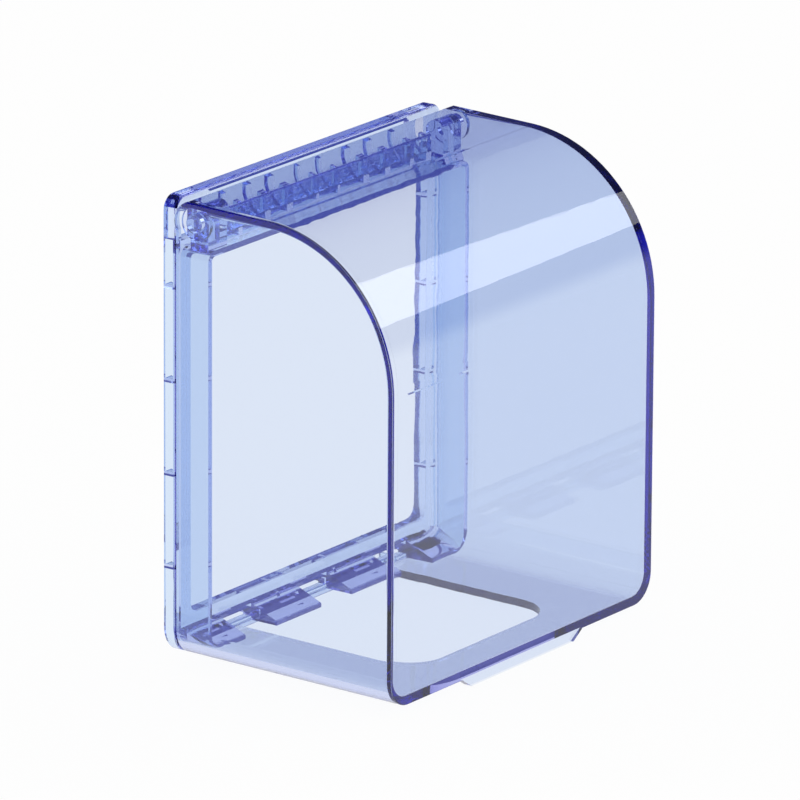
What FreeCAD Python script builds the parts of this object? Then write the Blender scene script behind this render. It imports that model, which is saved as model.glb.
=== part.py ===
"""Splash box for a wall socket: a back frame that goes round the socket, and a
clear cover that hinges on the frame's top rail and swings up.

Frame of the model, in millimetres: the wall is the plane y = 0 and the box
stands out towards -Y, +Z is up, and the origin is on the wall in the middle of
the frame's top rail. A "depth" is a distance in front of the wall.
"""
import FreeCAD, Part
import os
from math import atan2, cos, hypot, radians, sin, tan

# Back frame: opening and rails
opening_width = 103.0     # clear opening round the socket's plate
opening_height = 100.3
opening_corner = 3.0      # radius of the opening's corners
side_rail = 8.5           # width of the left and right rails
bottom_rail = 10.7
top_rail = 16.0           # taller, it carries the hinge
flange_depth = 3.8        # thickness of the flat ring on the wall
box_corner = 8.0          # outside radius of the bottom corners, frame and cover
top_corner = 4.0          # outside radius of the frame's top corners
flange_edge = 1.2         # rounding of the ring's front outside edge

# Back frame: groove moulded in from the wall side
groove_skirt = 1.3        # wall left outside the groove
groove_width = 2.8
groove_depth = 2.3
groove_top = 4.2          # end of the groove above the opening
groove_rib = 1.2          # cross ribs in the groove
groove_rib_pitch = 25.8

# Back frame: spigot that stands forward inside the cover
spigot_reach = 9.8        # beyond the flange
spigot_wall = 1.6
spigot_rise = 2.4         # its top wall's upper face, above the opening
spigot_edge = 0.4         # rounding of its front edges
spigot_top_corner = 3.0   # outside radius of its top corners
ramp_front = 1.2          # floor of the spigot, thickness at its front
ramp_back = 5.2           # and where it meets the flange
drain_count = 3           # notches through the spigot's floor
drain_width = 14.0
drain_pitch = 34.0
drain_sill = 1.2          # floor left standing behind each notch
drain_drop = 1.5          # wall above the window behind each notch
drain_height = 2.6        # height of that window

# Cover
cover_depth = 74.5        # wall to the front face
cover_wall = 2.2
front_radius = 41.7       # big bend from the top into the front
top_slope = 1.8           # degrees, the top falls towards the front
floor_slope = 0.7         # degrees, the floor falls towards the front
cover_edge = 0.8          # outside rounding between the sides and the bent sheet
inner_edge = 1.3          # and inside
rear_gap = 0.3            # flange to the cover's back edges
spigot_gap = 0.3          # spigot to the cover's inside

# Cover: cable opening in the floor, finger lip
cable_width = 64.0
cable_front_land = 13.0   # floor left in front of the opening
cable_corner = 11.0
lip_width = 55.0          # where the lip leaves the floor
lip_drop = 2.6
lip_flare = 4.0           # the lip narrows by this much at each end
lip_thickness = 2.2

# Hinge
hinge_depth = 9.8         # axis to the wall
hinge_drop = 6.2          # axis below the top of the frame
swing_gap = 0.4           # round everything that turns past the frame
lobe_radius = 6.2         # round back of the side walls and of the top sheet
post_width = 8.2
post_radius = 2.9         # round top of the posts
post_gap = 0.3            # post to the cover's hinge boss
boss_radius = 4.7         # ring round the pin hole, inside the cover
boss_height = 1.2
pin_radius = 2.5
pin_gap = 0.08            # pin to hole, all round
pin_skin = 0.6            # wall left outside the pin hole

# Hinge trough between the posts
trough_width = 89.0
trough_wall = 1.5
trough_back = 2.0         # wall left behind the trough
trough_lip = 1.5          # wall above the trough
trough_front_depth = 10.2
trough_front_height = 7.0
trough_ribs = ((4.8, 1.2), (17.2, 2.6), (27.0, 2.4), (38.0, 1.8))  # place and thickness, each side
trough_rib_top = 1.5      # their tops, above the hinge axis
cove_depth = 1.3          # hollow of the trough behind the ribs' edges
window_top = 2.2          # window through the ring behind each post, above the hinge axis
window_bottom = 6.0       # and below it

# Worked out from the sizes above
frame_width = opening_width + 2 * side_rail
half_width = frame_width / 2
frame_top = top_rail / 2
opening_top = -top_rail / 2
opening_bottom = opening_top - opening_height
frame_bottom = opening_bottom - bottom_rail
spigot_front = flange_depth + spigot_reach
cover_back = flange_depth + rear_gap
axis_z = frame_top - hinge_drop
lobe_back = hinge_depth - lobe_radius
swing_radius = lobe_radius + swing_gap
spigot_half = half_width - cover_wall - spigot_gap
spigot_bottom = frame_bottom + cover_wall + spigot_gap
spigot_top = opening_top + spigot_rise
post_outer = half_width - cover_wall - boss_height - post_gap
pin_end = half_width - pin_skin - 2 * pin_gap
far = 2 * frame_width     # longer than anything here, for cutting right through


def at(x, depth, z):
    """Point at a depth in front of the wall."""
    return FreeCAD.Vector(x, -depth, z)


def top_of_cover(depth):
    """Height of the cover's sloping top, before the bend."""
    return frame_top - depth * tan(radians(top_slope))


def floor_of_cover(depth):
    """Height of the underside of the cover's floor."""
    return frame_bottom - (depth - cover_back) * tan(radians(floor_slope))


def outline(corners, place):
    """Closed wire through (u, v, radius) corners, each rounded by a tangent arc."""
    edges, start, previous = [], None, None
    count = len(corners)
    for i in range(count):
        u, v, radius = corners[i]
        (ua, va, _), (ub, vb, _) = corners[i - 1], corners[(i + 1) % count]
        la, lb = hypot(ua - u, va - v), hypot(ub - u, vb - v)
        ax, ay, bx, by = (ua - u) / la, (va - v) / la, (ub - u) / lb, (vb - v) / lb
        half = atan2(abs(ax * by - ay * bx), ax * bx + ay * by) / 2
        back = radius / tan(half)
        first, last = place(u + ax * back, v + ay * back), place(u + bx * back, v + by * back)
        if previous is not None:
            edges.append(Part.makeLine(previous, first))
        else:
            start = first
        if radius > 0:
            mx, my = ax + bx, ay + by
            reach = (radius / sin(half) - radius) / hypot(mx, my)
            middle = place(u + mx * reach, v + my * reach)
            edges.append(Part.Arc(first, middle, last).toShape())
        previous = last
    edges.append(Part.makeLine(previous, start))
    return Part.Wire(edges)


def extrude(wire, vector):
    return Part.Face(wire).extrude(vector)


def front_plate(left, right, low, high, low_radius, high_radius, depth, thickness):
    """Rounded rectangle facing the front, from a depth towards the front."""
    corners = [(left, low, low_radius), (right, low, low_radius),
               (right, high, high_radius), (left, high, high_radius)]
    wire = outline(corners, lambda u, v: at(u, depth, v))
    return extrude(wire, at(0, thickness, 0))


def side_plate(corners, middle, thickness):
    """Plate across the width, from (depth, height, radius) corners."""
    wire = outline(corners, lambda u, v: at(middle - thickness / 2, u, v))
    return extrude(wire, at(thickness, 0, 0))


def across(radius, x0, x1):
    """Cylinder on the hinge axis."""
    return Part.makeCylinder(radius, x1 - x0, at(x0, hinge_depth, axis_z), at(1, 0, 0))


def block(x0, x1, depth0, depth1, z0, z1):
    return Part.makeBox(x1 - x0, depth1 - depth0, z1 - z0, at(x0, depth1, z0))


def mirrored(shape):
    return shape.mirror(at(0, 0, 0), at(1, 0, 0))


def both_sides(shape):
    return [shape, mirrored(shape)]


def evenly(count, pitch):
    """Places of a centred row."""
    return [(i - (count - 1) / 2) * pitch for i in range(count)]


# Back frame

def flange():
    """Flat ring on the wall, its outside front edge rounded."""
    ring = front_plate(-half_width, half_width, frame_bottom, frame_top,
                       box_corner, top_corner, 0, flange_depth)
    rim = [e for e in ring.Edges if all(abs(v.Point.y + flange_depth) < 1e-6 for v in e.Vertexes)]
    ring = ring.makeFillet(flange_edge, rim)
    hole = front_plate(-opening_width / 2, opening_width / 2, opening_bottom, opening_top,
                       opening_corner, opening_corner, 0, flange_depth)
    return ring.cut(hole)


def wall_groove():
    """Groove in the ring's back along both sides and the bottom, without its cross ribs."""
    def loop(inset):
        radius = max(box_corner - inset, 0.2)
        return front_plate(-half_width + inset, half_width - inset, frame_bottom + inset,
                           frame_top, radius, 0, 0, groove_depth)
    groove = loop(groove_skirt).cut(loop(groove_skirt + groove_width))
    top = opening_top + groove_top
    groove = groove.cut(block(-far, far, -1, groove_depth + 1, top, far))
    count = int((top - frame_bottom - box_corner) / groove_rib_pitch)
    middle = (frame_bottom + frame_top) / 2
    bars = []
    for z in evenly(count, groove_rib_pitch):
        low = middle + z - groove_rib / 2
        bars.append(block(-far, far, -1, groove_depth + 1, low, low + groove_rib))
    count = int((frame_width - 2 * box_corner) / groove_rib_pitch)
    under = frame_bottom + groove_skirt + groove_width
    for x in evenly(count, groove_rib_pitch):
        bars.append(block(x - groove_rib / 2, x + groove_rib / 2, -1, groove_depth + 1, -far, under))
    return groove.cut(bars)


def spigot():
    """Thin wall that stands forward inside the cover, with a ramp for its floor."""
    low_radius = max(box_corner - cover_wall - spigot_gap, 0.2)
    outside = front_plate(-spigot_half, spigot_half, spigot_bottom, spigot_top,
                          low_radius, spigot_top_corner, flange_depth, spigot_reach)
    inner_half, inner_top = spigot_half - spigot_wall, spigot_top - spigot_wall
    inside = front_plate(-inner_half, inner_half, spigot_bottom + ramp_front / 2, inner_top,
                         max(low_radius - spigot_wall, 0.2), max(spigot_top_corner - spigot_wall, 0.2),
                         flange_depth, spigot_reach)
    front, low = spigot_front, spigot_bottom
    floor = side_plate([(flange_depth, low - 1, 0), (front, low - 1, 0),
                        (front, low + ramp_front, spigot_edge), (flange_depth, low + ramp_back, 0)],
                       0, frame_width)
    return outside.cut(inside).fuse(floor.common(outside))


def drain_notches():
    """Notches through the spigot's floor, each with a window through the flange behind it."""
    cuts = []
    window_top = spigot_bottom + ramp_back - drain_drop
    for x in evenly(drain_count, drain_pitch):
        left, right = x - drain_width / 2, x + drain_width / 2
        cuts.append(block(left, right, flange_depth + drain_sill, spigot_front + 1,
                          spigot_bottom - 1, spigot_bottom + ramp_back + 1))
        cuts.append(block(left, right, -1, spigot_front, window_top - drain_height, window_top))
    return cuts


def hinge_trough():
    """Front wall, cove and gusset ribs of the trough that the cover's back edge swings into."""
    base = spigot_top - spigot_wall / 2
    lip = spigot_top + trough_front_height
    back = trough_front_depth - trough_wall
    round_top = 0.45 * trough_wall
    half = trough_width / 2 + trough_wall
    wall = side_plate([(back, base, 0), (trough_front_depth, base, 0),
                       (trough_front_depth, lip, round_top), (back, lip, round_top)], 0, 2 * half)
    cove = block(-half, half, trough_back / 2, hinge_depth, base, axis_z)
    cove = cove.cut(across(swing_radius + cove_depth, -half, half))
    ribs = []
    places = list(trough_ribs) + [(half - trough_wall / 2, trough_wall)]
    for x, thickness in places:
        rib = side_plate([(trough_back / 2, base, 0), (back + trough_wall / 2, base, 0),
                          (back + trough_wall / 2, lip - round_top, 0),
                          (trough_back / 2, axis_z + trough_rib_top, 0)], x, thickness)
        ribs += both_sides(rib)
    return [wall, cove] + ribs


def trough_pocket():
    """Space cut back into the flange between the posts."""
    half = trough_width / 2
    return block(-half, half, trough_back, spigot_front, spigot_top, frame_top - trough_lip)


def post_windows():
    """Windows through the ring behind the posts, which let the pins be moulded."""
    window = block(post_outer - post_width, post_outer, -1, flange_depth + 1,
                   axis_z - window_bottom, axis_z + window_top)
    return both_sides(window)


def hinge_post():
    """Right-hand post: round top on the hinge axis, and its pin."""
    inner = post_outer - post_width
    base = spigot_top - spigot_wall / 2
    post = block(inner, post_outer, hinge_depth - post_radius, hinge_depth + post_radius, base, axis_z)
    return post.fuse([across(post_radius, inner, post_outer),
                      across(pin_radius, post_outer - 1, pin_end)])


def swing_room():
    """Space that the cover's round back turns through, behind the posts and beside them."""
    sheet = across(swing_radius, -half_width - 1, half_width + 1)
    sheet = sheet.common(block(-far, far, -1, hinge_depth - post_radius, -far, far))
    lobe = across(swing_radius, post_outer + post_gap / 2, half_width + 1)
    return [sheet] + both_sides(lobe)


def back_frame():
    body = flange().fuse(spigot()).cut(trough_pocket())
    body = body.fuse(hinge_trough()).cut(swing_room())
    body = body.cut(wall_groove()).cut(drain_notches() + post_windows())
    return body.fuse(both_sides(hinge_post())).removeSplitter()


# Cover

def bent_profile(inset, back):
    """Side view of the cover's outside, or of its inside at an inset."""
    slope = radians(top_slope)
    front = cover_depth - inset
    high = top_of_cover(front) - inset / cos(slope)
    back_high = top_of_cover(back) - inset / cos(slope)
    return [(back, floor_of_cover(back) + inset, 0), (front, floor_of_cover(front) + inset, 0),
            (front, high, front_radius - inset), (back, back_high, 0)]


def hull(inset, back):
    """Outside of the cover, or its inside at an inset, with rounded sides to its floor."""
    body = side_plate(bent_profile(inset, back), 0, frame_width - 2 * inset)
    low = [e for e in body.Edges
           if e.Length > cover_depth / 2 and e.CenterOfMass.z < frame_bottom + 2 * cover_wall
           and abs(e.CenterOfMass.x) > half_width / 2]
    return body.makeFillet(max(box_corner - inset, 0.2), low)


def sheet_edges(body):
    """Edges where the bent sheet meets the sides and the floor."""
    def normal(face):
        u0, u1, v0, v1 = face.ParameterRange
        return face.normalAt((u0 + u1) / 2, (v0 + v1) / 2)

    def on_sheet(face):
        n = normal(face)
        return abs(n.x) < 1e-3 and (n.y < -0.5 or n.z > 0.5)
    chosen = []
    for edge in body.Edges:
        faces = body.ancestorsOfType(edge, Part.Face)
        sheet = [on_sheet(f) for f in faces]
        behind = [normal(f).y > 0.5 for f in faces]
        if len(faces) == 2 and sheet.count(True) == 1 and not any(behind):
            chosen.append(edge)
    return chosen


def cable_opening():
    """Opening in the floor, open to the back so that the cover lifts clear of a cable."""
    half, front = cable_width / 2, cover_depth - cable_front_land
    corners = [(-half, cover_back - 1, 0), (half, cover_back - 1, 0),
               (half, front, cable_corner), (-half, front, cable_corner)]
    low, high = floor_of_cover(cover_depth) - 1, frame_bottom + cover_wall + 1
    wire = outline(corners, lambda u, v: at(u, v, low))
    return extrude(wire, at(0, 0, high - low))


def finger_lip():
    """Lip that hangs from the floor's front edge, narrower at the bottom."""
    root = floor_of_cover(cover_depth)
    half = lip_width / 2
    corners = [(-half, root + cover_wall / 2, 0), (-half, root, 0),
               (-half + lip_flare, root - lip_drop, 1.0), (half - lip_flare, root - lip_drop, 1.0),
               (half, root, 0), (half, root + cover_wall / 2, 0)]
    wire = outline(corners, lambda u, v: at(u, cover_depth - lip_thickness, v))
    return extrude(wire, at(0, lip_thickness, 0))


def behind_the_walls():
    """What the hull loses at its back: all that lies outside a rod on the hinge axis."""
    back = block(-far, far, 0, cover_back, -far, far)
    above = block(-far, far, 0, hinge_depth, axis_z, far)
    return back.fuse(above).cut(across(lobe_radius, -half_width - 1, half_width + 1))


def boss_ring():
    """Ring round the right-hand pin hole, inside the side wall."""
    inner = half_width - cover_wall
    return across(boss_radius, inner - boss_height, inner + cover_wall / 2)


def pin_hole():
    return across(pin_radius + pin_gap, post_outer, half_width - pin_skin)


def cover():
    outside = hull(0, lobe_back)
    outside = outside.makeFillet(cover_edge, sheet_edges(outside)).cut(behind_the_walls())
    inside = hull(cover_wall, 0)
    inside = inside.makeFillet(inner_edge, sheet_edges(inside))
    body = outside.cut(inside).cut(cable_opening())
    body = body.fuse(finger_lip()).fuse(both_sides(boss_ring()))
    return body.cut(both_sides(pin_hole())).removeSplitter()


def main():
    os.makedirs("parts", exist_ok=True)
    for name, make in (("back_frame", back_frame), ("cover", cover)):
        shape = make()
        if len(shape.Solids) == 1:
            shape = shape.Solids[0]
        shape.exportStep(os.path.join("parts", name + ".step"))
        box = shape.BoundBox
        print(name, "valid", shape.isValid(), "solids", len(shape.Solids),
              "volume %.1f" % shape.Volume, "box %.2f %.2f %.2f" % (box.XLength, box.YLength, box.ZLength))


main()
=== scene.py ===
"""Looks of the wall socket splash box: the tinted clear plastic of its two mouldings,
a plain white stage with one lamp, and the camera.

Everything is in metres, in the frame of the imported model: the wall is the plane
y = 0, the box stands out towards -Y, +Z is up, and the origin is in the middle of
the back frame's top rail.
"""
from math import cos, radians, sin

import bpy
import numpy as np
from bpy.props import FloatProperty, FloatVectorProperty, IntProperty, PointerProperty
from mathutils import Matrix, Vector


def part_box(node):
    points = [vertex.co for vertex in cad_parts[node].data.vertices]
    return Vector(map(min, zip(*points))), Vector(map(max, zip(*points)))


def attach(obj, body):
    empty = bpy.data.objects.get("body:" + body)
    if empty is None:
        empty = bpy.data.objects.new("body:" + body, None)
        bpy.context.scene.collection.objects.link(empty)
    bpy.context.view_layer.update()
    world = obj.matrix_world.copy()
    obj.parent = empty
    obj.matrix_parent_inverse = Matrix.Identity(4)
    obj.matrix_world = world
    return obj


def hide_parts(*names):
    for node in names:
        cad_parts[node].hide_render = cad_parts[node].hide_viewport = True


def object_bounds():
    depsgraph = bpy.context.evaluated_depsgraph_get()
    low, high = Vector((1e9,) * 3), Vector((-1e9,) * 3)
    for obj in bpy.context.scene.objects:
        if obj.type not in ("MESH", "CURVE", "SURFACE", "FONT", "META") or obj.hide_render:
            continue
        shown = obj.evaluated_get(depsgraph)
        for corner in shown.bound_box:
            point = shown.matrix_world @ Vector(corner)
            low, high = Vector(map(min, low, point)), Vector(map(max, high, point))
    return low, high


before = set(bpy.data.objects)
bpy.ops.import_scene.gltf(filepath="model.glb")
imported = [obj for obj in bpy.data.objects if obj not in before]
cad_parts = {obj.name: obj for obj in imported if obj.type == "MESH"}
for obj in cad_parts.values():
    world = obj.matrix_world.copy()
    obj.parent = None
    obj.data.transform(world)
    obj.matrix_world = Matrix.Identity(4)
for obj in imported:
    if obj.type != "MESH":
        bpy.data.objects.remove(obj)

bl_info = {
    "name": "Socket splash box",
    "version": (1, 0, 0),
    "blender": (4, 5, 0),
    "location": "3D View > Sidebar > Splash box",
    "description": "Clear plastic, stage and camera for a wall socket splash box",
    "category": "Object",
}

BOX_LOW, BOX_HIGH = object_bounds()
MIDDLE = (BOX_LOW + BOX_HIGH) / 2
HALF_WIDTH = BOX_HIGH.x
FRAME_LOW, FRAME_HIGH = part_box("back_frame")
TINY = 1e-9
MERGE_DECIMALS = 7       # points that agree to this many decimals of a metre are one
EDGE_SLACK = 0.02        # share of a rounding by which its points may lie off it
SIDE_WALL = 0.0025       # a little more than the thickness of the cover's side walls
FLOW_STRETCH = (1.0, 1.0, 0.55)   # the flow waves are drawn out downwards
RIPPLES_PER_WAVE = 10.0
RUB_SCALE = 24.0         # rubbed patches for each metre
RUB_FROM = 0.55          # value of the noise above which the surface is rubbed
FLOOR_GRAIN = 60.0       # grains of the floor paint for each metre
FLOOR_DARKEST = 0.985    # share of its colour that the darkest grain keeps
CEILING_STARTS = -0.02   # height of the direction where the white surround ends
CEILING_FULL = 0.16      # height of the direction where the ceiling is reached


class SPLASHBOX_PG_plastic(bpy.types.PropertyGroup):
    """Tinted clear plastic of the two mouldings."""
    cover_tint: FloatVectorProperty(
        name="Cover tint", description="Colour that a sheet of the cover lets through",
        subtype="COLOR", default=(0.80, 0.895, 0.955), min=0, max=1)
    frame_tint: FloatVectorProperty(
        name="Frame tint", description="The same for the frame, which is richer in colour",
        subtype="COLOR", default=(0.70, 0.82, 0.955), min=0, max=1)
    depth_tint: FloatVectorProperty(
        name="Depth tint", description="Colour left after a long way through the plastic",
        subtype="COLOR", default=(0.06, 0.0, 0.80), min=0, max=1)
    cover_absorption: FloatProperty(
        name="Cover absorption", description="How fast the depth tint builds up for each metre of plastic",
        default=52.0, min=0)
    frame_absorption: FloatProperty(
        name="Frame absorption", description="The same for the frame, whose long ways stay paler",
        default=28.0, min=0)
    refraction: FloatProperty(
        name="Refractive index", description="Index of refraction of the plastic", default=1.58, min=1)
    polish: FloatProperty(
        name="Polish roughness", description="Roughness of the clean polished surfaces",
        subtype="FACTOR", default=0.012, min=0, max=1)
    cover_rub: FloatProperty(
        name="Cover rub", description="How much rougher the rubbed patches of the cover are",
        subtype="FACTOR", default=0.1, min=0, max=1)
    frame_rub: FloatProperty(
        name="Frame rub", description="How much rougher the rubbed patches of the frame are",
        subtype="FACTOR", default=0.25, min=0, max=1)
    wave_length: FloatProperty(
        name="Wave length", description="Distance between the flow waves of the cover",
        subtype="DISTANCE", unit="LENGTH", default=0.011)
    wave_height: FloatProperty(
        name="Wave height", description="Height of the flow waves of the cover",
        subtype="DISTANCE", unit="LENGTH", default=0.00003)
    ripple_height: FloatProperty(
        name="Ripple height", description="Height of the fine ripple of both mouldings",
        subtype="DISTANCE", unit="LENGTH", default=0.0000004)


class SPLASHBOX_PG_stage(bpy.types.PropertyGroup):
    """White stage and its lamp."""
    floor_colour: FloatVectorProperty(
        name="Floor colour", description="Paint of the floor",
        subtype="COLOR", default=(0.76, 0.76, 0.75), min=0, max=1)
    floor_size: FloatProperty(
        name="Floor size", description="Side of the square floor", subtype="DISTANCE",
        unit="LENGTH", default=12.0)
    floor_white: FloatProperty(
        name="Floor white", description="How far the floor is lifted to plain white",
        subtype="FACTOR", default=0.95, min=0, max=1)
    floor_behind: FloatProperty(
        name="Floor behind", description="The same for what is seen of the floor through the plastic",
        subtype="FACTOR", default=0.08, min=0, max=1)
    surround: FloatProperty(
        name="Surround light", description="Strength of the light from all round", default=1.0, min=0)
    ceiling: FloatVectorProperty(
        name="Ceiling", description="Colour of the studio overhead, which only polished surfaces mirror",
        subtype="COLOR", default=(0.08, 0.09, 0.38), min=0, max=1)
    bounces: IntProperty(
        name="Light bounces", description="How often light may turn inside the clear plastic",
        default=48, min=4)
    band_light: FloatProperty(
        name="Band lamp", description="Brightness of the lamp that the bent sheet mirrors",
        default=2.0, min=0)
    band_direction: FloatVectorProperty(
        name="Band direction", description="Direction of the lamp from the middle of the box",
        subtype="DIRECTION", default=(0.795, -0.432, 0.426))
    band_distance: FloatProperty(
        name="Band distance", description="Distance of the lamp from the middle of the box",
        subtype="DISTANCE", unit="LENGTH", default=1.2)
    band_span: FloatVectorProperty(
        name="Band span", description="Where the lamp starts and ends to the side of its direction",
        size=2, unit="LENGTH", default=(-0.40, 0.105))
    band_rise: FloatVectorProperty(
        name="Band rise", description="Where the lamp starts and ends above its direction",
        size=2, unit="LENGTH", default=(-0.13, 0.40))


class SPLASHBOX_PG_edges(bpy.types.PropertyGroup):
    """Outline of the cover and how crisp its edges are."""
    wall: FloatProperty(
        name="Wall", description="Thickness of the cover's walls", subtype="DISTANCE", unit="LENGTH",
        default=0.0022)
    corner: FloatProperty(
        name="Bottom corner", description="Outside radius between the sides and the floor",
        subtype="DISTANCE", unit="LENGTH", default=0.008)
    bend: FloatProperty(
        name="Bend", description="Outside radius of the bend from the top into the front",
        subtype="DISTANCE", unit="LENGTH", default=0.0417)
    top_slope: FloatProperty(
        name="Top slope", description="Fall of the top towards the front", subtype="ANGLE",
        default=radians(1.8))
    floor_slope: FloatProperty(
        name="Floor slope", description="Fall of the floor towards the front", subtype="ANGLE",
        default=radians(0.7))
    outside: FloatProperty(
        name="Outside edge", description="Rounding of the moulded outside edges", subtype="DISTANCE",
        unit="LENGTH", default=0.0008)
    inside: FloatProperty(
        name="Inside edge", description="Rounding of the moulded inside edges", subtype="DISTANCE",
        unit="LENGTH", default=0.0013)
    crisp_outside: FloatProperty(
        name="Crisp outside edge", description="Rounding that the outside edges keep",
        subtype="DISTANCE", unit="LENGTH", default=0.0003)
    back: FloatProperty(
        name="Back", description="Distance of the floor's back edge from the wall",
        subtype="DISTANCE", unit="LENGTH", default=0.0041)
    bend_start: FloatProperty(
        name="Crisp from", description="Distance from the wall at which the edges turn crisp",
        subtype="DISTANCE", unit="LENGTH", default=0.015)
    crisp_inside: FloatProperty(
        name="Crisp inside edge", description="Rounding that the inside edges keep",
        subtype="DISTANCE", unit="LENGTH", default=0.0002)


class SPLASHBOX_PG_camera(bpy.types.PropertyGroup):
    """Camera of the product view."""
    azimuth: FloatProperty(
        name="Azimuth", description="Direction of the camera round the box, 0 is straight in front",
        subtype="ANGLE", default=radians(-54.138))
    elevation: FloatProperty(
        name="Elevation", description="Height of the camera over the horizon",
        subtype="ANGLE", default=radians(17.018))
    roll: FloatProperty(
        name="Roll", description="Turn of the camera about its own axis",
        subtype="ANGLE", default=radians(0.323))
    distance: FloatProperty(
        name="Distance", description="Distance from the camera to the aim", subtype="DISTANCE",
        unit="LENGTH", default=2.7378)
    lens: FloatProperty(
        name="Focal length", description="Focal length on a 36 mm sensor, in millimetres",
        default=462.4)
    aim: FloatVectorProperty(
        name="Aim", description="Point that the camera looks at", subtype="XYZ", unit="LENGTH",
        default=(0.0, -0.040, -0.052))
    framing: FloatVectorProperty(
        name="Framing", description="How far the aim stands right of and above the picture's middle",
        size=2, unit="LENGTH", default=(0.00523, 0.00318))


def new_material(name):
    """Empty node material; returns it with its tree and its output node."""
    material = bpy.data.materials.new(name)
    material.use_nodes = True
    tree = material.node_tree
    tree.nodes.clear()
    return material, tree, tree.nodes.new("ShaderNodeOutputMaterial")


def add(tree, kind, inputs=None, **settings):
    """Node of a kind, with its settings, and its inputs given as values or as sockets to link."""
    node = tree.nodes.new(kind)
    for key, value in settings.items():
        setattr(node, key, value)
    usable = {socket.name: socket for socket in node.inputs if socket.enabled}
    for key, value in (inputs or {}).items():
        socket = usable[key] if isinstance(key, str) else node.inputs[key]
        if isinstance(value, bpy.types.NodeSocket):
            tree.links.new(value, socket)
        else:
            socket.default_value = value
    return node


def calculate(tree, operation, a, b, clamp=False):
    """Math node; returns its output."""
    node = add(tree, "ShaderNodeMath", {0: a, 1: b}, operation=operation, use_clamp=clamp)
    return node.outputs[0]


def moulded_surface_group():
    """Height and roughness of a moulded clear surface.

    Height = wave height x smooth noise at the wave length, drawn out downwards as
    the plastic flowed and only within the wave reach of the middle plane, plus
    ripple height x noise at a tenth of that length.
    Roughness = polish, plus faint rubbed patches where a slow noise is high.
    """
    group = bpy.data.node_groups.new("moulded_surface", "ShaderNodeTree")
    sockets = group.interface
    for name in ("Wave Length", "Wave Height", "Wave Reach", "Ripple Height", "Polish", "Rub"):
        sockets.new_socket(name, in_out="INPUT", socket_type="NodeSocketFloat")
    for name in ("Height", "Roughness"):
        sockets.new_socket(name, in_out="OUTPUT", socket_type="NodeSocketFloat")
    given = group.nodes.new("NodeGroupInput").outputs
    result = group.nodes.new("NodeGroupOutput").inputs
    place = add(group, "ShaderNodeTexCoord").outputs["Object"]
    scale = calculate(group, "DIVIDE", 1.0, given["Wave Length"])
    flow = add(group, "ShaderNodeMapping", {"Vector": place, "Scale": FLOW_STRETCH})
    waves = add(group, "ShaderNodeTexNoise",
                {"Vector": flow.outputs[0], "Scale": scale, "Detail": 1.0, "Roughness": 0.4})
    fine = add(group, "ShaderNodeTexNoise",
               {"Vector": place, "Scale": calculate(group, "MULTIPLY", scale, RIPPLES_PER_WAVE),
                "Detail": 2.0})
    across = add(group, "ShaderNodeSeparateXYZ", {"Vector": place}).outputs["X"]
    off_middle = calculate(group, "ABSOLUTE", across, 0.0)
    sheet = calculate(group, "LESS_THAN", off_middle, given["Wave Reach"])
    flowed = calculate(group, "MULTIPLY", waves.outputs[0], sheet)
    high = calculate(group, "MULTIPLY", flowed, given["Wave Height"])
    low = calculate(group, "MULTIPLY", fine.outputs[0], given["Ripple Height"])
    group.links.new(calculate(group, "ADD", high, low), result["Height"])
    slow = add(group, "ShaderNodeTexNoise", {"Vector": place, "Scale": RUB_SCALE, "Detail": 3.0})
    rubbed = calculate(group, "SUBTRACT", slow.outputs[0], RUB_FROM, clamp=True)
    patch = calculate(group, "MULTIPLY", rubbed, given["Rub"])
    group.links.new(calculate(group, "ADD", given["Polish"], patch), result["Roughness"])
    return group


def clear_plastic(name, plastic, tint, absorption, wave_height, rub):
    """Tinted clear plastic with a moulded surface; lamps shine through it with its tint."""
    material, tree, out = new_material(name)
    group = bpy.data.node_groups.get("moulded_surface") or moulded_surface_group()
    surface = add(tree, "ShaderNodeGroup", node_tree=group)
    values = {"Wave Length": plastic.wave_length, "Wave Height": wave_height,
              "Wave Reach": HALF_WIDTH - SIDE_WALL,
              "Ripple Height": plastic.ripple_height, "Polish": plastic.polish, "Rub": rub}
    for key, value in values.items():
        surface.inputs[key].default_value = value
    bump = add(tree, "ShaderNodeBump",
               {"Height": surface.outputs["Height"], "Strength": 1.0, "Distance": 1.0})
    colour = (*tint, 1.0)
    gloss = add(tree, "ShaderNodeBsdfPrincipled",
                {"Base Color": colour, "Roughness": surface.outputs["Roughness"], "Metallic": 0.0,
                 "Transmission Weight": 1.0, "IOR": plastic.refraction, "Normal": bump.outputs[0]})
    see_through = add(tree, "ShaderNodeBsdfTransparent", {"Color": colour})
    path = add(tree, "ShaderNodeLightPath")
    lamp_ray = calculate(tree, "MAXIMUM", path.outputs["Is Shadow Ray"], path.outputs["Is Diffuse Ray"])
    mixed = add(tree, "ShaderNodeMixShader",
                {0: lamp_ray, 1: gloss.outputs[0], 2: see_through.outputs[0]})
    tree.links.new(mixed.outputs[0], out.inputs["Surface"])
    inside = add(tree, "ShaderNodeVolumeAbsorption",
                 {"Color": (*plastic.depth_tint, 1.0), "Density": absorption})
    tree.links.new(inside.outputs[0], out.inputs["Volume"])
    return material


def plain_rays(tree, directly=1.0, through_plastic=1.0):
    """Share of plain white for the rays that show the stage: camera, glossy and transmission rays."""
    path = add(tree, "ShaderNodeLightPath").outputs
    seen = calculate(tree, "MAXIMUM", path["Is Camera Ray"], path["Is Glossy Ray"])
    return calculate(tree, "MAXIMUM", calculate(tree, "MULTIPLY", seen, directly),
                     calculate(tree, "MULTIPLY", path["Is Transmission Ray"], through_plastic))


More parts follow.
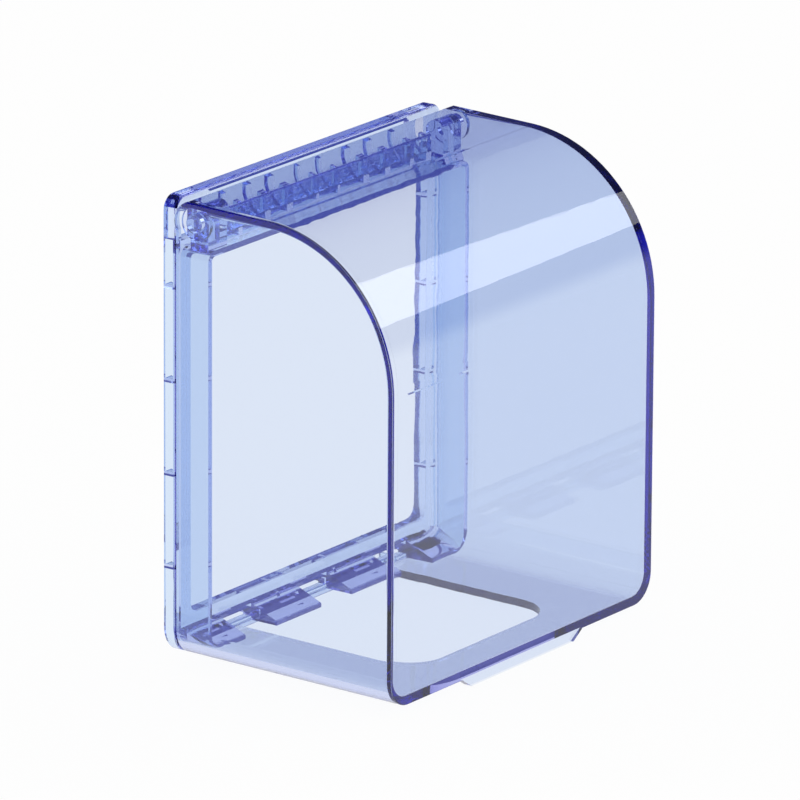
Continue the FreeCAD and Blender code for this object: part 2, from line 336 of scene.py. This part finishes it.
def mesh_arrays(mesh):
    """Points, triangles and corner normals of a node, with points that coincide made one.

    Points that agree when they are rounded get the same number, and a triangle that has two
    equal numbers is left out.
    """
    mesh.calc_loop_triangles()
    points = np.empty(3 * len(mesh.vertices))
    triangles = np.empty(3 * len(mesh.loop_triangles), dtype=np.int32)
    corners = np.empty_like(triangles)
    normals = np.empty(3 * len(mesh.loops))
    mesh.vertices.foreach_get("co", points)
    mesh.loop_triangles.foreach_get("vertices", triangles)
    mesh.loop_triangles.foreach_get("loops", corners)
    mesh.corner_normals.foreach_get("vector", normals)
    _, first, number = np.unique(np.round(points.reshape(-1, 3), MERGE_DECIMALS), axis=0,
                                 return_index=True, return_inverse=True)
    triangles = number.ravel()[triangles].reshape(-1, 3)
    whole = ((triangles[:, 0] != triangles[:, 1]) & (triangles[:, 1] != triangles[:, 2])
             & (triangles[:, 2] != triangles[:, 0]))
    normals = normals.reshape(-1, 3)[corners].reshape(-1, 3, 3)
    return points.reshape(-1, 3)[first], triangles[whole], normals[whole]


def from_sides_and_floor(points, edges, inset):
    """Distance of points from the cover's sides or floor, and the direction out of them.

    The bottom corners are arcs: beyond their centre lines the distance is the corner's radius
    less the distance from that line. The surfaces lie at an inset from the cover's outside.
    """
    x, depth, z = points[:, 0], -points[:, 1], points[:, 2]
    corner = edges.corner - inset
    floor = FRAME_LOW.z - (depth - edges.back) * np.tan(edges.floor_slope) + inset
    out = np.sign(x) * np.maximum(np.abs(x) - (HALF_WIDTH - edges.corner), 0)
    down = np.maximum(floor + corner - z, 0)
    around = np.maximum(np.hypot(out, down), TINY)
    return corner - around, np.stack([out, 0 * x, -down], 1) / around[:, None]


def from_bent_sheet(points, edges, inset):
    """Distance of points from the cover's bent sheet, and the direction out of it.

    Seen from the side, the bend is an arc about a centre at the middle of the bend. Ahead of
    the centre and above it the distance is the bend's radius less the distance from the
    centre, below it that is taken level, and behind it square to the sloping top.
    """
    slope = edges.top_slope
    depth, z = -points[:, 1], points[:, 2]
    middle = -BOX_LOW.y - edges.bend
    ahead = depth - middle
    above = z - (FRAME_HIGH.z - middle * np.tan(slope) - edges.bend / np.cos(slope))
    rise = ahead * np.sin(slope) + above * np.cos(slope)
    flat = ahead * np.cos(slope) < above * np.sin(slope)
    ahead = np.where(flat, rise * np.sin(slope), ahead)
    above = np.where(flat, rise * np.cos(slope), np.maximum(above, 0))
    reach = np.maximum(np.hypot(ahead, above), TINY)
    return edges.bend - inset - reach, np.stack([0 * z, -ahead, above], 1) / reach[:, None]


def crisper(points, edges, inset, rounding, crisp, start):
    """Points with the rounded edges between the bent sheet and the sides and floor made crisper.

    With a the distance from the sides or floor and b the distance from the bent sheet, an edge
    of radius r is where a and b are both from 0 to r. Scaling a and b there by crisp / rounding
    leaves the surfaces as they are and makes the radius smaller. Points nearer to the wall than
    the start stay as they are.
    """
    a, sideways = from_sides_and_floor(points, edges, inset)
    b, outwards = from_bent_sheet(points, edges, inset)
    most = rounding * (1 + EDGE_SLACK)
    least = -rounding * EDGE_SLACK
    edge = (a > least) & (a < most) & (b > least) & (b < most) & (-points[:, 1] > start)
    shift = (1 - crisp / rounding) * (a[:, None] * sideways + b[:, None] * outwards)
    return points + np.where(edge[:, None], shift, 0)


def make_cover(edges):
    """Copy of the cover with its points merged and its moulded edges crisp."""
    points, triangles, normals = mesh_arrays(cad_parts["cover"].data)
    points = crisper(points, edges, 0.0, edges.outside, edges.crisp_outside, edges.bend_start)
    points = crisper(points, edges, edges.wall, edges.inside, edges.crisp_inside, edges.bend_start)
    mesh = bpy.data.meshes.new("cover_shell")
    mesh.from_pydata(points.tolist(), [], triangles.tolist())
    mesh.shade_smooth()
    mesh.normals_split_custom_set(normals.reshape(-1, 3).tolist())
    shell = bpy.data.objects.new("cover_shell", mesh)
    bpy.context.scene.collection.objects.link(shell)
    return shell


def dress(node, material):
    """Puts a material on a node of the frame."""
    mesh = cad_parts[node].data
    mesh.materials.clear()
    mesh.materials.append(material)


class SPLASHBOX_OT_back_frame(bpy.types.Operator):
    """Gives the back frame its clear plastic"""
    bl_idname = "splashbox.back_frame"
    bl_label = "Back frame plastic"

    def execute(self, context):
        plastic = context.scene.splashbox_plastic
        dress("back_frame", clear_plastic("frame_plastic", plastic, plastic.frame_tint,
                                          plastic.frame_absorption, 0.0, plastic.frame_rub))
        return {"FINISHED"}


class SPLASHBOX_OT_cover(bpy.types.Operator):
    """Makes the cover's shell with crisp edges, in clear plastic with flow waves in its sheets"""
    bl_idname = "splashbox.cover"
    bl_label = "Cover"

    def execute(self, context):
        plastic = context.scene.splashbox_plastic
        shell = make_cover(context.scene.splashbox_edges)
        shell.data.materials.append(
            clear_plastic("cover_plastic", plastic, plastic.cover_tint, plastic.cover_absorption,
                          plastic.wave_height, plastic.cover_rub))
        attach(shell, "lid")
        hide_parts("cover")
        return {"FINISHED"}


def make_floor(stage):
    """Square floor at the lowest point of the box, lifted to white, with the box's shadow on it."""
    half = stage.floor_size / 2
    corners = np.array([(-1, -1), (1, -1), (1, 1), (-1, 1)]) * half
    level = np.full((4, 1), BOX_LOW.z)
    mesh = bpy.data.meshes.new("floor")
    mesh.from_pydata(np.hstack([corners, level]).tolist(), [], [(0, 1, 2, 3)])
    floor = bpy.data.objects.new("floor", mesh)
    bpy.context.scene.collection.objects.link(floor)
    material, tree, out = new_material("floor_paint")
    grain = add(tree, "ShaderNodeTexNoise", {"Scale": FLOOR_GRAIN, "Detail": 2.0})
    shade = add(tree, "ShaderNodeMapRange",
                {"Value": grain.outputs[0], "To Min": FLOOR_DARKEST, "To Max": 1.0})
    colour = add(tree, "ShaderNodeVectorMath",
                 {0: tuple(stage.floor_colour), 1: shade.outputs[0]}, operation="MULTIPLY")
    paint = add(tree, "ShaderNodeBsdfDiffuse", {"Color": colour.outputs[0]})
    white = add(tree, "ShaderNodeEmission", {"Color": (1, 1, 1, 1), "Strength": 1.0})
    lift = plain_rays(tree, stage.floor_white, stage.floor_behind)
    mixed = add(tree, "ShaderNodeMixShader", {0: lift, 1: paint.outputs[0], 2: white.outputs[0]})
    tree.links.new(mixed.outputs[0], out.inputs["Surface"])
    mesh.materials.append(material)


def make_world(stage):
    """Plain light from all round; what is seen of it is white up to the horizon, then the ceiling.

    The share of ceiling rises smoothly from 0 to 1 with the height z of the direction, which
    runs from -1 straight down to 1 straight up.
    """
    world = bpy.data.worlds.new("white_surround")
    bpy.context.scene.world = world
    world.use_nodes = True
    tree = world.node_tree
    tree.nodes.clear()
    soft = add(tree, "ShaderNodeBackground", {"Color": (1, 1, 1, 1), "Strength": stage.surround})
    direction = add(tree, "ShaderNodeTexCoord").outputs["Generated"]
    height = add(tree, "ShaderNodeSeparateXYZ", {"Vector": direction}).outputs["Z"]
    overhead = add(tree, "ShaderNodeMapRange",
                   {"Value": height, "From Min": CEILING_STARTS, "From Max": CEILING_FULL},
                   interpolation_type="SMOOTHSTEP")
    colour = add(tree, "ShaderNodeMix", {"Factor": overhead.outputs[0], "A": (1, 1, 1, 1),
                                         "B": (*stage.ceiling, 1)}, data_type="RGBA")
    seen = add(tree, "ShaderNodeBackground", {"Color": colour.outputs[2], "Strength": 1.0})
    mixed = add(tree, "ShaderNodeMixShader",
                {0: plain_rays(tree), 1: soft.outputs[0], 2: seen.outputs[0]})
    out = add(tree, "ShaderNodeOutputWorld")
    tree.links.new(mixed.outputs[0], out.inputs["Surface"])


def make_lamp(name, target, direction, distance, span, rise, radiance):
    """Rectangular lamp square to a direction from a point, with the same brightness all over.

    The span and the rise are where it starts and ends, to the right and upwards, as seen along
    its own beam's line back to that point. An area lamp of power P and area A gives out
    P / (pi A) in each direction.
    """
    width, height = span[1] - span[0], rise[1] - rise[0]
    lamp = bpy.data.lights.new(name, "AREA")
    lamp.shape = "RECTANGLE"
    lamp.size, lamp.size_y = width, height
    lamp.energy = radiance * np.pi * width * height
    holder = bpy.data.objects.new(name, lamp)
    away = Vector(direction).normalized()
    turn = away.to_track_quat("Z", "Y").to_matrix()
    middle = turn @ Vector(((span[0] + span[1]) / 2, (rise[0] + rise[1]) / 2, distance))
    holder.matrix_world = Matrix.Translation(Vector(target) + middle) @ turn.to_4x4()
    bpy.context.scene.collection.objects.link(holder)


def make_camera(view):
    """Camera on the line from the aim at an azimuth and an elevation, turned by the roll."""
    a, e = view.azimuth, view.elevation
    back = Vector((sin(a) * cos(e), -cos(a) * cos(e), sin(e)))
    right, up = Vector((cos(a), sin(a), 0)), Vector((-sin(a) * sin(e), cos(a) * sin(e), cos(e)))
    c, s = cos(view.roll), sin(view.roll)
    right, up = c * right + s * up, c * up - s * right
    camera = bpy.data.cameras.new("product_view")
    camera.lens = view.lens
    holder = bpy.data.objects.new("product_view", camera)
    place = Vector(view.aim) - view.framing[0] * right - view.framing[1] * up + back * view.distance
    turn = Matrix((right, up, back)).transposed()
    holder.matrix_world = Matrix.Translation(place) @ turn.to_4x4()
    bpy.context.scene.collection.objects.link(holder)
    bpy.context.scene.camera = holder


class SPLASHBOX_OT_stage(bpy.types.Operator):
    """Builds the floor, the surround, the lamp and the camera"""
    bl_idname = "splashbox.stage"
    bl_label = "Stage and camera"

    def execute(self, context):
        scene = context.scene
        stage = scene.splashbox_stage
        scene.view_settings.view_transform = "Standard"
        make_floor(stage)
        make_world(stage)
        make_lamp("band_lamp", MIDDLE, stage.band_direction, stage.band_distance, stage.band_span,
                  stage.band_rise, stage.band_light)
        limits = scene.cycles
        limits.max_bounces = limits.transmission_bounces = stage.bounces
        limits.glossy_bounces = limits.transparent_max_bounces = stage.bounces
        make_camera(scene.splashbox_camera)
        return {"FINISHED"}


class SPLASHBOX_PT_panel(bpy.types.Panel):
    """Sizes and colours of the splash box, and its makers"""
    bl_idname = "SPLASHBOX_PT_panel"
    bl_label = "Splash box"
    bl_space_type = "VIEW_3D"
    bl_region_type = "UI"
    bl_category = "Splash box"

    def draw(self, context):
        for name in SETTINGS:
            box = self.layout.box()
            settings = getattr(context.scene, name)
            for key in settings.__annotations__:
                box.prop(settings, key)
        for maker in MAKERS:
            self.layout.operator(maker.bl_idname)


SETTINGS = {"splashbox_plastic": SPLASHBOX_PG_plastic, "splashbox_edges": SPLASHBOX_PG_edges,
            "splashbox_stage": SPLASHBOX_PG_stage, "splashbox_camera": SPLASHBOX_PG_camera}
MAKERS = (SPLASHBOX_OT_back_frame, SPLASHBOX_OT_cover, SPLASHBOX_OT_stage)


def register():
    for kind in (*SETTINGS.values(), *MAKERS, SPLASHBOX_PT_panel):
        bpy.utils.register_class(kind)
    for name, kind in SETTINGS.items():
        setattr(bpy.types.Scene, name, PointerProperty(type=kind))


def unregister():
    for name in SETTINGS:
        delattr(bpy.types.Scene, name)
    for kind in (SPLASHBOX_PT_panel, *reversed(MAKERS), *reversed(SETTINGS.values())):
        bpy.utils.unregister_class(kind)


def main():
    register()
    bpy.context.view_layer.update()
    for maker in MAKERS:
        group, name = maker.bl_idname.split(".")
        getattr(getattr(bpy.ops, group), name)()


if __name__ == "__main__":
    main()
